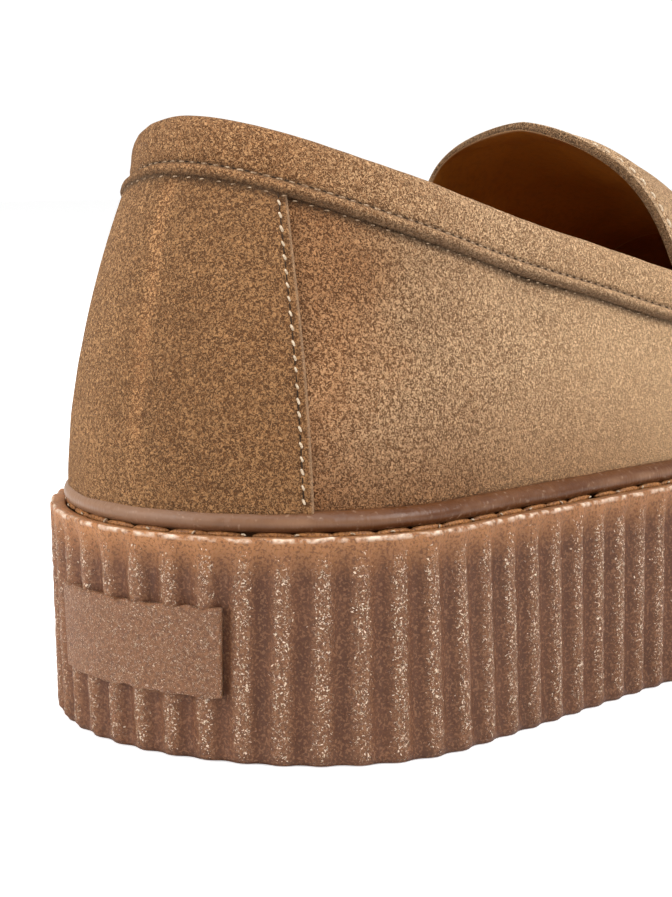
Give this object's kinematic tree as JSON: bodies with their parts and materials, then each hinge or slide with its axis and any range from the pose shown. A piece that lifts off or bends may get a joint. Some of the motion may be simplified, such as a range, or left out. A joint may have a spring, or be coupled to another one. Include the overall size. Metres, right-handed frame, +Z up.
{
  "type": "leather loafer",
  "caption": "Low slip-on shoe with a suede upper, a bound collar, a broad strap over the instep and a thick ribbed platform sole.",
  "frame": {"origin": "on the floor under the middle of the shoe's bounding box", "axes": "+Y from the heel to the toe, +X to the outer (lateral) side of this right shoe, +Z up from the floor"},
  "size_m": [0.0996, 0.283, 0.0988],
  "materials": {
    "sole_rubber": "satin, speckled",
    "rand_rubber": "semi-gloss",
    "upper_suede": "suede nap",
    "counter_suede": "suede nap",
    "collar_suede": "suede nap",
    "saddle_suede": "suede nap",
    "tongue_leather": "smooth lining, satin",
    "insole_leather": "smooth, satin"
  },
  "bodies": {
    "root": {"sole": "sole_rubber", "rand": "rand_rubber", "upper": "upper_suede", "counter_panel": "counter_suede", "collar_band": "collar_suede", "saddle": "saddle_suede", "tongue": "tongue_leather", "insole": "insole_leather"}
  },
  "joints": []
}
